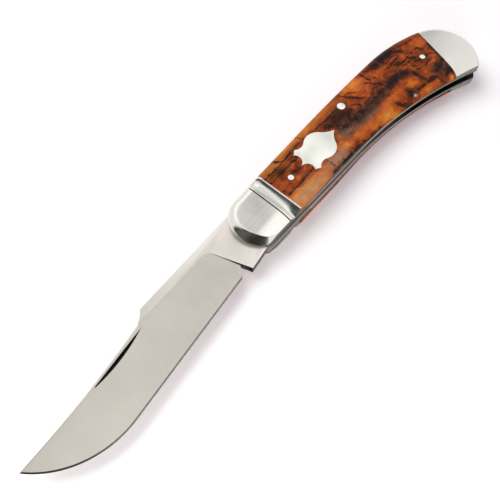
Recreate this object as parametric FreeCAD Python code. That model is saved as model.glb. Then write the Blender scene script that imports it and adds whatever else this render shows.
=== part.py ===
import FreeCAD, Part
import math
import os

V = FreeCAD.Vector

# Folding pocket knife, in millimetres. It lies on its pile side with the blade open.
# The pivot axis is Z, the handle runs along +X, the open blade along -X, and the spine faces +Y.

# Stack through the thickness
blade_thickness = 2.8
side_clearance = 0.05
liner_thickness = 1.0
cover_thickness = 2.55

# Handle outline
spine_height = 9.64
spine_rise_deg = 3.1
spine_straight_end = 27.8
crest_x = 66.8
spine_rear_radius = 60.3
rear_turn_deg = 21.3
rear_radius = 12.9
belly_depth = 6.95
belly_rise_deg = 1.05
belly_straight_end = 36.7
belly_radius = 141.5
front_turn_x = -2.23
front_upper_radius = 8.28
front_lower_radius = 10.3

# Edges of the handle faces
edge_round = 1.8
edge_round_share = 0.75
bevel_slope_deg = 32.0
bevel_radius = 88.0
bevel_shift = 8.7
bevel_lead = 2.35

# Lines between the bolsters and the covers
cover_front_x = 8.3
rear_line_shift = 0.05
rear_line_tilt_deg = 18.5

# Fluted band at the back of each front bolster
bead_width = 0.5
cove_width = 3.9
cove_depth = 0.9
land_width = 0.35
groove_width = 0.4
groove_depth = 0.35

# Blade, measured in its open place
close_deg = 170.0
tang_flat = 5.4
tang_radius = 5.95
tang_clearance = 0.05
shoulder_x = -3.45
blade_back_height = 8.7
notch_start_x = -43.2
notch_start_y = 6.55
notch_middle_x = -44.6
notch_middle_y = 5.1
clip_start_x = -46.2
clip_start_y = 4.15
clip_sag = 0.9
tip_x = -90.95
tip_y = -1.65
belly_start_x = -63.6
belly_start_y = -13.5
heel_x = -17.8
heel_y = -7.45
kick_x = 15.05
choil_height = 3.5

# Flat grind below a full-thickness strip along the blade's back
strip_height_rear = 2.75
strip_height_front = 2.45
edge_half_thickness = 0.15
tip_half_thickness = 0.25
plunge_top_x = -18.3
plunge_round = 2.2
plunge_round_bulge = 0.27
swedge_width = 1.3
swedge_depth = 0.8
swedge_middle_share = 0.75
swedge_tip_share = 0.3

# Nail nick on the mark side
nick_start = 0.3
nick_gap = 0.15
nick_length = 20.4
nick_width = 1.3
nick_depth = 0.55

# Backspring
spring_nose_x = -3.4
spring_seat_length = 18.0
spring_relief = 1.6
spring_relief_end = 39.0
spring_edge_gap = 1.3
spring_foot_height = -11.0

# Pins and their places
pivot_pin_diameter = 3.0
bushing_diameter = 4.8
pivot_clearance = 0.03
cover_pin_diameter = 2.0
front_cover_pin_setback = 6.0
front_cover_pin_y = 2.1
rear_cover_pin_lead = 4.3
rear_cover_pin_rise = 4.15
center_pin_diameter = 2.8
center_pin_lead = 21.5
center_pin_drop = 4.73
spring_pin_diameter = 2.4
spring_pin_setback = 7.2
spring_pin_rise = 3.95
rivet_diameter = 1.6
rivet_depth = 1.5
front_rivet_x = -5.0
front_rivet_y = 4.2
second_rivet_x = 1.5
second_rivet_y = -4.4
rear_rivet_setback = 4.2
rear_rivet_rise = 8.5
last_rivet_drop = 4.6

# Shield, let into the mark-side cover
shield_setback = 11.0
shield_front_y = 2.4
shield_turn_deg = 3.0
shield_length = 17.2
shield_tooth_setback = 1.7
shield_tooth_inner = 4.0
shield_tooth_length = 1.7
shield_tooth_width = 10.0
shield_scallop = 2.3
shield_waist_u = 5.6
shield_waist_width = 8.0
shield_neck_u = 7.4
shield_neck_width = 9.1
shield_shoulder_u = 10.4
shield_shoulder_width = 10.2
shield_ogee_u = 13.4
shield_ogee_width = 6.6
shield_hollow_u = 15.0
shield_hollow_width = 2.7
shield_thickness = 1.2
shield_pin_diameter = 1.2
shield_front_pin_u = 6.0
shield_rear_pin_u = 12.0

# Heights worked out from the stack
well_half = blade_thickness / 2 + side_clearance
liner_half = well_half + liner_thickness
handle_half = liner_half + cover_thickness
middle_z = handle_half
top_z = 2 * handle_half

# Points of the blade's outline
notch_start = V(notch_start_x, notch_start_y, 0)
notch_middle = V(notch_middle_x, notch_middle_y, 0)
clip_start = V(clip_start_x, clip_start_y, 0)
tip = V(tip_x, tip_y, 0)
belly_start = V(belly_start_x, belly_start_y, 0)
heel = V(heel_x, heel_y, 0)


def unit(degrees):
    angle = math.radians(degrees)
    return V(math.cos(angle), math.sin(angle), 0)


def turned(vector, degrees):
    return FreeCAD.Rotation(V(0, 0, 1), degrees).multVec(vector)


def line(start, end):
    return Part.LineSegment(start, end).toShape()


def arc_through(start, middle, end):
    return Part.Arc(start, middle, end).toShape()


def arc_about(center, start, end):
    outward = (start - center) + (end - center)
    outward.normalize()
    return arc_through(start, center + outward * (start - center).Length, end)


def sagged(start, end, sag):
    across = V(start.y - end.y, end.x - start.x, 0)
    across.normalize()
    return (start + end) * 0.5 + across * sag


def plate(edges, low, high):
    face = Part.Face(Part.Wire(edges))
    face.translate(V(0, 0, low))
    return face.extrude(V(0, 0, high - low))


def outline(points):
    return [line(a, b) for a, b in zip(points, points[1:] + points[:1])]


def rod(place, diameter, low, high):
    return Part.makeCylinder(diameter / 2, high - low, V(place.x, place.y, low))


def mirrored(shape):
    return shape.mirror(V(0, 0, middle_z), V(0, 0, 1))


# Handle outline, from the points where its runs meet
def spine_at(x):
    return V(x, spine_height + x * math.tan(math.radians(spine_rise_deg)), 0)


def belly_at(x):
    return V(x, -belly_depth + x * math.tan(math.radians(belly_rise_deg)), 0)


def circles_meet(center_a, radius_a, center_b, radius_b, right):
    apart = center_b - center_a
    distance = apart.Length
    along = (radius_a ** 2 - radius_b ** 2 + distance ** 2) / (2 * distance)
    aside = math.sqrt(radius_a ** 2 - along ** 2)
    apart.normalize()
    across = V(apart.y, -apart.x, 0)
    return center_a + apart * along + across * (aside if right else -aside)


spine_down = turned(V(0, -1, 0), spine_rise_deg)
belly_down = turned(V(0, -1, 0), belly_rise_deg)
rise_end = spine_at(spine_straight_end)
crest_radius = (crest_x - spine_straight_end) / math.sin(math.radians(spine_rise_deg))
crest_center = rise_end + spine_down * crest_radius
crest = crest_center + V(0, crest_radius, 0)
spine_rear_center = crest - V(0, spine_rear_radius, 0)
rear_way = turned(V(0, 1, 0), -rear_turn_deg)
rear_turn = spine_rear_center + rear_way * spine_rear_radius
rear_center = spine_rear_center + rear_way * (spine_rear_radius - rear_radius)
belly_bend = belly_at(belly_straight_end)
belly_center = belly_bend + belly_down * belly_radius
rear_corner = circles_meet(belly_center, belly_radius, rear_center, rear_radius, True)
front_turn = spine_at(front_turn_x)
front_upper_center = front_turn + spine_down * front_upper_radius
front_end = front_upper_center - V(front_upper_radius, 0, 0)
front_lower_center = front_end + V(front_lower_radius, 0, 0)


def belly_corner():
    origin = belly_at(0)
    way = unit(belly_rise_deg)
    offset = origin - front_lower_center
    half = offset.dot(way)
    reach = math.sqrt(half ** 2 - offset.dot(offset) + front_lower_radius ** 2)
    return origin - way * (half + reach)


front_corner = belly_corner()

# Places of the pins, the rivets and the shield on that outline
front_cover_pin = V(cover_front_x + front_cover_pin_setback, front_cover_pin_y, 0)
rear_cover_pin = rear_center + V(-rear_cover_pin_lead, rear_cover_pin_rise, 0)
center_pin_place = crest - V(center_pin_lead, center_pin_drop, 0)
spring_pin_place = rear_center + V(spring_pin_setback, spring_pin_rise, 0)
front_rivet_places = [V(front_rivet_x, front_rivet_y, 0), V(second_rivet_x, second_rivet_y, 0)]
rear_rivet_places = [
    rear_center + V(rear_rivet_setback, rear_rivet_rise, 0),
    rear_center + V(rear_rivet_setback, -last_rivet_drop, 0),
]
cover_front = V(cover_front_x, 0, 0)
rear_line = rear_center + V(rear_line_shift, 0, 0)
shield_front = V(cover_front_x + shield_setback, shield_front_y, 0)

rounded_edges = [
    arc_about(front_lower_center, front_corner, front_end),
    arc_about(front_upper_center, front_end, front_turn),
    line(front_turn, rise_end),
    arc_about(crest_center, rise_end, crest),
    arc_about(spine_rear_center, crest, rear_turn),
    arc_about(rear_center, rear_turn, rear_corner),
]
belly_edges = [
    arc_about(belly_center, rear_corner, belly_bend),
    line(belly_bend, front_corner),
]
handle_edges = rounded_edges + belly_edges


# One side's bolsters and cover, cut from one rounded slab
def on_rounded_run(edge):
    middle = edge.valueAt((edge.FirstParameter + edge.LastParameter) / 2)
    if abs(middle.z - top_z) > 1e-6:
        return False
    below = Part.Vertex(V(middle.x, middle.y, 0))
    return any(run.distToShape(below)[0] < 1e-4 for run in rounded_edges)


def belly_bevel():
    low_radius = bevel_radius - cover_thickness / math.tan(math.radians(bevel_slope_deg))
    rise = belly_radius + bevel_lead - bevel_radius
    base = belly_center + V(bevel_shift, rise, middle_z + liner_half)
    return Part.makeCone(low_radius, bevel_radius, cover_thickness, base)


def side_slab():
    slab = plate(handle_edges, middle_z + liner_half, top_z)
    rounding = min(edge_round, cover_thickness * edge_round_share)
    slab = slab.makeFillet(rounding, [edge for edge in slab.Edges if on_rounded_run(edge)])
    return slab.cut(belly_bevel())


def behind(place, tilt_deg):
    size = 2 * belly_radius
    block = Part.makeBox(size, size, size, V(0, -size / 2, -size / 2))
    block.rotate(V(0, 0, 0), V(0, 0, 1), -tilt_deg)
    block.translate(place)
    return block


def flute():
    cove_back = cover_front_x - bead_width
    cove_front = cove_back - cove_width
    cove_middle = (cove_front + cove_back) / 2
    groove_back = cove_front - land_width
    groove_front = groove_back - groove_width
    reach = front_upper_radius + front_lower_radius + spine_height
    cove_edges = [
        arc_through(V(cove_front, 0, 0), V(cove_middle, 0, -cove_depth), V(cove_back, 0, 0)),
        line(V(cove_back, 0, 0), V(cove_front, 0, 0)),
    ]
    groove_edges = outline([
        V(groove_front, 0, 0),
        V((groove_front + groove_back) / 2, 0, -groove_depth),
        V(groove_back, 0, 0),
    ])
    cuts = []
    for edges in (cove_edges, groove_edges):
        face = Part.Face(Part.Wire(edges))
        face.translate(V(0, -reach, top_z))
        cuts.append(face.extrude(V(0, 2 * reach, 0)))
    return cuts


def rivets(places):
    low = middle_z + well_half
    high = middle_z + liner_half + rivet_depth
    return [rod(place, rivet_diameter, low, high) for place in places]


def cover_pin(place):
    return rod(place, cover_pin_diameter, middle_z + well_half, top_z)


def through_pins():
    return [
        rod(V(0, 0, 0), pivot_pin_diameter, 0, top_z),
        rod(center_pin_place, center_pin_diameter, 0, top_z),
        rod(spring_pin_place, spring_pin_diameter, 0, top_z),
    ]


def drilled(shape):
    holes = through_pins() + rivets(front_rivet_places) + rivets(rear_rivet_places)
    holes += [cover_pin(front_cover_pin), cover_pin(rear_cover_pin)]
    return shape.cut(holes)


def liner():
    return drilled(plate(handle_edges, middle_z + well_half, middle_z + liner_half))


def front_bolster(slab):
    return drilled(slab.cut(behind(cover_front, 0)).cut(flute()))


def rear_bolster(slab):
    return drilled(slab.common(behind(rear_line, rear_line_tilt_deg)))


def cover(slab):
    middle = slab.common(behind(cover_front, 0))
    return drilled(middle.cut(behind(rear_line, rear_line_tilt_deg)))


# Shield: a pointed rear, rounded shoulders, a waist and a scalloped front
def shield_half(side):
    def at(u, width):
        return V(u, side * width / 2, 0)
    tooth_outer = shield_tooth_setback + shield_tooth_length
    tooth = at(shield_tooth_setback, 2 * shield_tooth_inner)
    return [
        arc_through(V(0, 0, 0), at(shield_scallop, shield_tooth_inner), tooth),
        line(tooth, at(tooth_outer, shield_tooth_width)),
        arc_through(at(tooth_outer, shield_tooth_width), at(shield_waist_u, shield_waist_width),
                    at(shield_neck_u, shield_neck_width)),
        arc_through(at(shield_neck_u, shield_neck_width), at(shield_shoulder_u, shield_shoulder_width),
                    at(shield_ogee_u, shield_ogee_width)),
        arc_through(at(shield_ogee_u, shield_ogee_width), at(shield_hollow_u, shield_hollow_width),
                    V(shield_length, 0, 0)),
    ]


def placed_on_cover(shape):
    shape.rotate(V(0, 0, 0), V(0, 0, 1), shield_turn_deg)
    shape.translate(shield_front)
    return shape


def shield():
    edges = Part.__sortEdges__(shield_half(1) + shield_half(-1))
    return placed_on_cover(plate(edges, top_z - shield_thickness, top_z))


def shield_pins():
    low = middle_z + liner_half
    high = top_z - shield_thickness
    places = [V(shield_front_pin_u, 0, 0), V(shield_rear_pin_u, 0, 0)]
    rods = [rod(place, shield_pin_diameter, low, high) for place in places]
    return placed_on_cover(Part.makeCompound(rods))


# Blade
def closed_flat_point(x):
    return turned(V(x, tang_flat, 0), -close_deg)


kick = closed_flat_point(kick_x)
tang_top = V(math.sqrt(tang_radius ** 2 - tang_flat ** 2), tang_flat, 0)
tang_bottom = closed_flat_point(-tang_top.x)
back_start = V(shoulder_x, blade_back_height, 0)
plunge_top = V(plunge_top_x, notch_start.y - strip_height_front, 0)


def strip_line(x):
    share = (x - notch_start.x) / (back_start.x - notch_start.x)
    height = strip_height_front + share * (strip_height_rear - strip_height_front)
    return notch_start.y + share * (back_start.y - notch_start.y) - height


def plunge_point(height):
    share = (height - kick.y) / (plunge_top.y - kick.y)
    return kick + (plunge_top - kick) * share


def edge_arc_center():
    way = belly_start - heel
    way.normalize()
    inward = V(way.y, -way.x, 0)
    chord = tip - belly_start
    return belly_start + inward * (chord.dot(chord) / (2 * chord.dot(inward)))


edge_center = edge_arc_center()
edge_radius = (tip - edge_center).Length
choil = plunge_point(kick.y + choil_height)


def blade_edges():
    return [
        line(back_start, notch_start),
        arc_through(notch_start, notch_middle, clip_start),
        arc_through(clip_start, sagged(clip_start, tip, clip_sag), tip),
        arc_about(edge_center, tip, belly_start),
        line(belly_start, heel),
        line(heel, choil),
        line(choil, kick),
        line(kick, tang_bottom),
        arc_through(tang_bottom, V(tang_radius, 0, 0), tang_top),
        line(tang_top, V(shoulder_x, tang_flat, 0)),
        line(V(shoulder_x, tang_flat, 0), back_start),
    ]


def ricasso():
    strip_end = V(plunge_top.x - plunge_round, strip_line(plunge_top.x - plunge_round), 0)
    turn = plunge_point(strip_line(plunge_top.x) - plunge_round)
    corner = plunge_point(strip_line(plunge_top.x))
    middle = corner + (turn + strip_end - corner * 2) * plunge_round_bulge
    far = V(tang_radius, blade_back_height, 0)
    below = plunge_point(kick.y - choil_height)
    edges = [
        line(below, turn),
        arc_through(turn, middle, strip_end),
        line(strip_end, V(strip_end.x, far.y, 0)),
        line(V(strip_end.x, far.y, 0), far),
        line(far, V(far.x, below.y, 0)),
        line(V(far.x, below.y, 0), below),
    ]
    return plate(edges, middle_z, top_z)


# The grind's three stations: place along the blade, upper line, half thickness there, lower line
def edge_line(x):
    return heel.y + (x - heel.x) * (belly_start.y - heel.y) / (belly_start.x - heel.x)


def grind_stations():
    half = blade_thickness / 2
    rear_x = kick.x + choil_height
    front_x = tip.x - swedge_width
    return [
        (rear_x, strip_line(rear_x), half, edge_line(rear_x)),
        (clip_start.x, strip_line(clip_start.x), half, edge_line(clip_start.x)),
        (front_x, tip.y, tip_half_thickness, edge_line(front_x)),
    ]


def ground_half(point):
    rear, front = grind_stations()[1:]
    share = (point.x - rear[0]) / (front[0] - rear[0])
    upper, half, lower = [a + (b - a) * share for a, b in zip(rear[1:], front[1:])]
    return edge_half_thickness + (half - edge_half_thickness) * (point.y - lower) / (upper - lower)


def on_ground_face(point):
    return point + V(0, 0, middle_z + ground_half(point))


def grind():
    sections = []
    for x, upper, half, lower in grind_stations():
        below = lower - blade_back_height
        sections.append(Part.Wire(outline([
            V(x, upper, middle_z + half),
            V(x, lower, middle_z + edge_half_thickness),
            V(x, below, middle_z + edge_half_thickness),
            V(x, below, top_z),
            V(x, upper, top_z),
        ])))
    return Part.makeLoft(sections, True, True).cut(ricasso())


# Bevel along the clip's back, fading out at the tip
def swedge():
    clip_middle = sagged(clip_start, tip, clip_sag)
    beyond_tip = tip - V(swedge_width, 0, 0)
    places = [(clip_start, 1.0), (clip_middle, swedge_middle_share), (beyond_tip, swedge_tip_share)]
    sections = []
    for place, share in places:
        foot = on_ground_face(place - V(0, swedge_width * share, 0))
        over = 2 * swedge_width * share
        drop = 2 * swedge_depth * share ** 2
        sections.append(Part.Wire(outline([
            foot,
            foot + V(0, over, -drop),
            foot + V(0, over, blade_thickness),
            foot + V(0, 0, blade_thickness),
        ])))
    return Part.makeLoft(sections, True, True)


# Nail nick: a steep straight wall below the swedge, and a floor that rises towards the edge
def nail_nick():
    way = tip - clip_start
    way.normalize()
    toward_edge = V(-way.y, way.x, 0)
    start = clip_start + way * nick_start + toward_edge * (swedge_width + nick_gap)
    end = start + way * nick_length
    middle = on_ground_face((start + end) * 0.5)
    along = on_ground_face(end) - on_ground_face(start)
    across = on_ground_face((start + end) * 0.5 + toward_edge) - middle
    up = along.cross(across)
    along.normalize()
    up.normalize()
    rise_deg = math.degrees(math.atan2(nick_depth, nick_width))
    tilt = FreeCAD.Rotation(along, rise_deg)
    axis = tilt.multVec(up.cross(along))
    radius = ((nick_length / 2) ** 2 + nick_depth ** 2) / (2 * nick_depth)
    base = middle + tilt.multVec(up) * (radius - nick_depth)
    return Part.makeCylinder(radius, nick_width * 2, base, axis)


def blade():
    low = middle_z - blade_thickness / 2
    shape = plate(blade_edges(), low, low + blade_thickness)
    shape = shape.cut([grind(), mirrored(grind())])
    shape = shape.cut([swedge(), mirrored(swedge())])
    shape = shape.cut(nail_nick())
    hole = rod(V(0, 0, 0), bushing_diameter + 2 * pivot_clearance, 0, top_z)
    return shape.cut(hole)


def pivot_bushing():
    sleeve = rod(V(0, 0, 0), bushing_diameter, middle_z - well_half, middle_z + well_half)
    return sleeve.cut(rod(V(0, 0, 0), pivot_pin_diameter, 0, top_z))


# Backspring, which bears on the tang at its front and is pinned at the middle and the rear
def closed_place(point):
    return turned(point, close_deg)


def backspring():
    seat = tang_flat + tang_clearance
    nose = V(spring_nose_x, seat, 0)
    seat_end = V(spring_seat_length, seat, 0)
    closed_heel = closed_place(heel)
    closed_belly = closed_place(belly_start)
    edge_way = closed_belly - closed_heel
    edge_way.normalize()
    away = V(-edge_way.y, edge_way.x, 0) * spring_edge_gap
    arm_end = closed_heel + edge_way * (spring_relief_end - closed_heel.x) + away
    belly_end = closed_belly + away
    center = closed_place(edge_center)
    reach = edge_radius + spring_edge_gap
    foot_drop = spring_foot_height - center.y
    foot = V(center.x + math.sqrt(reach ** 2 - foot_drop ** 2), spring_foot_height, 0)
    rear_drop = spring_foot_height - rear_center.y
    foot_back = V(rear_center.x + math.sqrt(rear_radius ** 2 - rear_drop ** 2), spring_foot_height, 0)
    edges = [
        line(nose, seat_end),
        arc_through(seat_end, (seat_end + arm_end) * 0.5 + V(0, spring_relief, 0), arm_end),
        line(arm_end, belly_end),
        arc_about(center, belly_end, foot),
        line(foot, foot_back),
        arc_about(rear_center, foot_back, rear_turn),
        arc_about(spine_rear_center, rear_turn, crest),
        arc_about(crest_center, crest, rise_end),
        line(rise_end, spine_at(spring_nose_x)),
        line(spine_at(spring_nose_x), nose),
    ]
    return plate(edges, middle_z - well_half, middle_z + well_half).cut(through_pins())


def build():
    slab = side_slab()
    whole_cover = cover(slab)
    shield_shape = shield()
    pivot_pin, center_pin, rear_spring_pin = through_pins()
    nodes = {
        "blade": blade(),
        "pivot_bushing": pivot_bushing(),
        "pivot_pin": pivot_pin,
        "backspring": backspring(),
        "center_pin": center_pin,
        "rear_spring_pin": rear_spring_pin,
        "shield": shield_shape,
        "shield_pins": shield_pins(),
    }
    mark_side = {
        "liner": liner(),
        "front_bolster": front_bolster(slab),
        "rear_bolster": rear_bolster(slab),
        "cover": whole_cover,
        "front_cover_pin": cover_pin(front_cover_pin),
        "rear_cover_pin": cover_pin(rear_cover_pin),
        "front_bolster_rivets": Part.makeCompound(rivets(front_rivet_places)),
        "rear_bolster_rivets": Part.makeCompound(rivets(rear_rivet_places)),
    }
    for name, shape in mark_side.items():
        nodes[name + "_pile_side"] = mirrored(shape)
        nodes[name + "_mark_side"] = shape
    nodes["cover_mark_side"] = whole_cover.cut([shield_shape, shield_pins()])
    return nodes


os.makedirs("parts", exist_ok=True)
for node, shape in build().items():
    shape.exportStep(os.path.join("parts", node + ".step"))
    print(node, len(shape.Solids), round(shape.Volume, 2), shape.isValid())
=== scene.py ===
import math

import bmesh
import bpy
import numpy as np
from mathutils import Matrix, Vector, noise


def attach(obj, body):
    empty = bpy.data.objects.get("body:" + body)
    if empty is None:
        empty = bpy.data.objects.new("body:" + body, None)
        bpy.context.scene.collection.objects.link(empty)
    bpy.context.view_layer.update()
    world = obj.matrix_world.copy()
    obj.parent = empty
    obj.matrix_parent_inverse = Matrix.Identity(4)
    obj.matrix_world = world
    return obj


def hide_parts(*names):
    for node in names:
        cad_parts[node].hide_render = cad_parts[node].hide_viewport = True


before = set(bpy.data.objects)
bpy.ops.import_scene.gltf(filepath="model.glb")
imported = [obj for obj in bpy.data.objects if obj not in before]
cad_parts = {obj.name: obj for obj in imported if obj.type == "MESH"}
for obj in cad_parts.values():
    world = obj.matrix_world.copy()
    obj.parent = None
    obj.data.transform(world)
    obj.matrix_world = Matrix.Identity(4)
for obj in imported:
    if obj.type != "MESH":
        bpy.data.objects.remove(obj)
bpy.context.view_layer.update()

mm = 0.001
perMetre = 1000

# how meshes are handled, in mm and degrees
shaping = {
    "mergeWithin": 0.002, "cutWithin": 0.0001, "flatAngle": 0.4, "smoothAngle": 30,
    "easeSegments": 2, "mostCorners": 4,
}
# most of a noise's values lie in the wide span, and its patches part in the narrow one
wideSpan = {"From Min": 0.3, "From Max": 0.7}
narrowSpan = {"From Min": 0.35, "From Max": 0.65}
# a colour Mix node's sockets by number, because their names repeat for each kind of data
mixShare, mixFirst, mixSecond, mixResult = 0, 6, 7, 2


# sRGB hex to the linear colour that Blender works in
def linear(hexColour):
    parts = [int(hexColour[i:i + 2], 16) / 255 for i in (0, 2, 4)]
    return tuple(p / 12.92 if p <= 0.04045 else ((p + 0.055) / 1.055) ** 2.4 for p in parts) + (1.0,)


# adds one node: settings are its properties, inputs are values or the sockets to link
def addNode(tree, kind, inputs=None, **settings):
    node = tree.nodes.new(kind)
    for key, value in settings.items():
        setattr(node, key, value)
    for key, value in (inputs or {}).items():
        if isinstance(value, bpy.types.NodeSocket):
            tree.links.new(value, node.inputs[key])
        else:
            node.inputs[key].default_value = value
    return node


def newMaterial(name):
    material = bpy.data.materials.new(name)
    material.use_nodes = True
    tree = material.node_tree
    tree.nodes.clear()
    return material, tree


# a CAD node's copy, merged into one closed mesh and free of its imported normals
def mergedCopy(node):
    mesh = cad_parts[node].data.copy()
    for name in ("custom_normal", "sharp_edge", "sharp_face"):
        if name in mesh.attributes:
            mesh.attributes.remove(mesh.attributes[name])
    bm = bmesh.new()
    bm.from_mesh(mesh)
    bpy.data.meshes.remove(mesh)
    bmesh.ops.remove_doubles(bm, verts=bm.verts, dist=shaping["mergeWithin"] * mm)
    return bm


def cutLargeFaces(bm):
    bmesh.ops.triangulate(bm, faces=[f for f in bm.faces if len(f.verts) > shaping["mostCorners"]])


# cuts the given faces along a plane
def sliceFaces(bm, faces, place, normal):
    rims = list({e for f in faces for e in f.edges}) + list({v for f in faces for v in f.verts})
    bmesh.ops.bisect_plane(bm, geom=faces + rims, dist=shaping["cutWithin"] * mm, plane_co=place, plane_no=normal)


# breaks the sharp edges by a small rounding, as a buffing wheel does
def easeEdges(bm, width, angle, spared=lambda edge: False):
    bmesh.ops.dissolve_limit(bm, angle_limit=math.radians(shaping["flatAngle"]), verts=bm.verts, edges=bm.edges,
                             delimit={"MATERIAL"})
    sharp = [e for e in bm.edges if e.is_manifold and e.calc_face_angle() > math.radians(angle) and not spared(e)]
    bmesh.ops.bevel(bm, geom=sharp, offset=width * mm, offset_type="OFFSET", affect="EDGES",
                    segments=shaping["easeSegments"], profile=0.5, material=-1, clamp_overlap=True)
    cutLargeFaces(bm)


# turns a bmesh into a finished piece that stands for its CAD node
def finishPiece(bm, name, node, body, materials):
    mesh = bpy.data.meshes.new(name)
    bm.edges.index_update()
    borders = [e.index for e in bm.edges if len({f.material_index for f in e.link_faces}) > 1]
    bm.to_mesh(mesh)
    bm.free()
    mesh.shade_smooth()
    mesh.set_sharp_from_angle(angle=math.radians(shaping["smoothAngle"]))
    for index in borders:
        mesh.edges[index].use_edge_sharp = True
    for material in materials:
        mesh.materials.append(material)
    piece = bpy.data.objects.new(name, mesh)
    bpy.context.scene.collection.objects.link(piece)
    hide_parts(node)
    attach(piece, body)
    return piece


# Satin stainless steel, ground on a fine belt: a soft grey sheen with hair lines across the blade
satinSteel = {
    # edge and cut are darker copies of the steel: painted shade along the honed edge and in the nick and the choil
    "grind": "c9c4bb", "flat": "d2cec7", "tang": "e2dcd5", "spring": "bdbab6", "edge": "77736d", "cut": "211f1d",
    "roughness": 0.34, "roughnessSpread": 0.10, "lineWidth": 0.22, "lineRun": 9.0, "cloudSize": 14.0,
    "bump": 0.002, "bumpStrength": 0.5, "tangFrom": -27.0, "tangTo": -15.0,
}


# across turns the hair lines to run across the part, and tang is the colour it takes towards the pivot
def satinSteelMaterial(name, colour, across, tang=None):
    material, tree = newMaterial(name)
    place = addNode(tree, "ShaderNodeTexCoord").outputs["Object"]
    fine, run = perMetre / satinSteel["lineWidth"], perMetre / satinSteel["lineRun"]
    stretch = (fine, run, fine) if across else (run, fine, fine)
    mapped = addNode(tree, "ShaderNodeMapping", {"Vector": place, "Scale": stretch})
    lines = addNode(tree, "ShaderNodeTexNoise", {"Vector": mapped.outputs[0], "Scale": 1.0, "Detail": 3.0})
    cloud = addNode(tree, "ShaderNodeTexNoise", {
        "Vector": place, "Scale": perMetre / satinSteel["cloudSize"], "Detail": 2.0})
    gloss = addNode(tree, "ShaderNodeMapRange", {
        "Value": lines.outputs["Fac"], **wideSpan,
        "To Min": satinSteel["roughness"] - satinSteel["roughnessSpread"] / 2,
        "To Max": satinSteel["roughness"] + satinSteel["roughnessSpread"] / 2})
    tint = addNode(tree, "ShaderNodeMapRange", {
        "Value": cloud.outputs["Fac"], **narrowSpan, "To Min": 0.96, "To Max": 1.03})
    shade = addNode(tree, "ShaderNodeMapRange", {
        "Value": lines.outputs["Fac"], **wideSpan, "To Min": 0.97, "To Max": 1.03})
    both = addNode(tree, "ShaderNodeMath", {0: tint.outputs[0], 1: shade.outputs[0]}, operation="MULTIPLY")
    along = addNode(tree, "ShaderNodeSeparateXYZ", {0: place})
    share = addNode(tree, "ShaderNodeMapRange", {
        "Value": along.outputs["X"], "From Min": satinSteel["tangFrom"] * mm, "From Max": satinSteel["tangTo"] * mm})
    metal = addNode(tree, "ShaderNodeMix", {
        mixShare: share.outputs[0], mixFirst: linear(colour), mixSecond: linear(tang or colour)}, data_type="RGBA")
    base = addNode(tree, "ShaderNodeVectorMath", {
        0: metal.outputs[mixResult], "Scale": both.outputs[0]}, operation="SCALE")
    bump = addNode(tree, "ShaderNodeBump", {
        "Height": lines.outputs["Fac"], "Strength": satinSteel["bumpStrength"], "Distance": satinSteel["bump"] * mm})
    steel = addNode(tree, "ShaderNodeBsdfPrincipled", {
        "Base Color": base.outputs[0], "Metallic": 1.0, "Roughness": gloss.outputs[0], "Normal": bump.outputs[0]})
    addNode(tree, "ShaderNodeOutputMaterial", {"Surface": steel.outputs[0]})
    return material


# Steel inside the well with painted shade: paler at the mouth, brown-black towards the rear where the well is deepest
wellShadeSteel = {
    "mouth": "b9b4ac", "rear": "171514", "mouthAt": 8.0, "rearAt": 66.0,
    "roughness": 0.42, "shadeMottleSize": 5.0, "shadeMottle": 0.15,
}


def wellShadeSteelMaterial(name):
    material, tree = newMaterial(name)
    place = addNode(tree, "ShaderNodeTexCoord").outputs["Object"]
    along = addNode(tree, "ShaderNodeSeparateXYZ", {0: place})
    shadeMottle = addNode(tree, "ShaderNodeTexNoise", {
        "Vector": place, "Scale": perMetre / wellShadeSteel["shadeMottleSize"], "Detail": 3.0})
    depth = addNode(tree, "ShaderNodeMapRange", {
        "Value": along.outputs["X"], "From Min": wellShadeSteel["mouthAt"] * mm, "From Max": wellShadeSteel["rearAt"] * mm})
    blotch = addNode(tree, "ShaderNodeMapRange", {
        "Value": shadeMottle.outputs["Fac"], "To Min": -wellShadeSteel["shadeMottle"], "To Max": wellShadeSteel["shadeMottle"]})
    shadeAmount = addNode(tree, "ShaderNodeMath", {
        0: depth.outputs[0], 1: blotch.outputs[0]}, operation="ADD", use_clamp=True)
    base = addNode(tree, "ShaderNodeMix", {
        mixShare: shadeAmount.outputs[0], mixFirst: linear(wellShadeSteel["mouth"]), mixSecond: linear(wellShadeSteel["rear"])},
        data_type="RGBA")
    steel = addNode(tree, "ShaderNodeBsdfPrincipled", {
        "Base Color": base.outputs[mixResult], "Metallic": 1.0, "Roughness": wellShadeSteel["roughness"]})
    addNode(tree, "ShaderNodeOutputMaterial", {"Surface": steel.outputs[0]})
    return material


# Nickel silver, buffed: a warm pale grey with a soft mirror and faint wheel marks
nickelSilver = {
    "bolster": "e2e0d9", "shield": "e9eae1", "pin": "f2f2ee", "liner": "c8c3b6", "groove": "67635d",
    "wheelWidth": 0.35, "wheelRun": 7.0, "wheelTurn": 0.5, "hazeSize": 6.0, "bump": 0.0008, "bumpStrength": 0.4,
}


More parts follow.
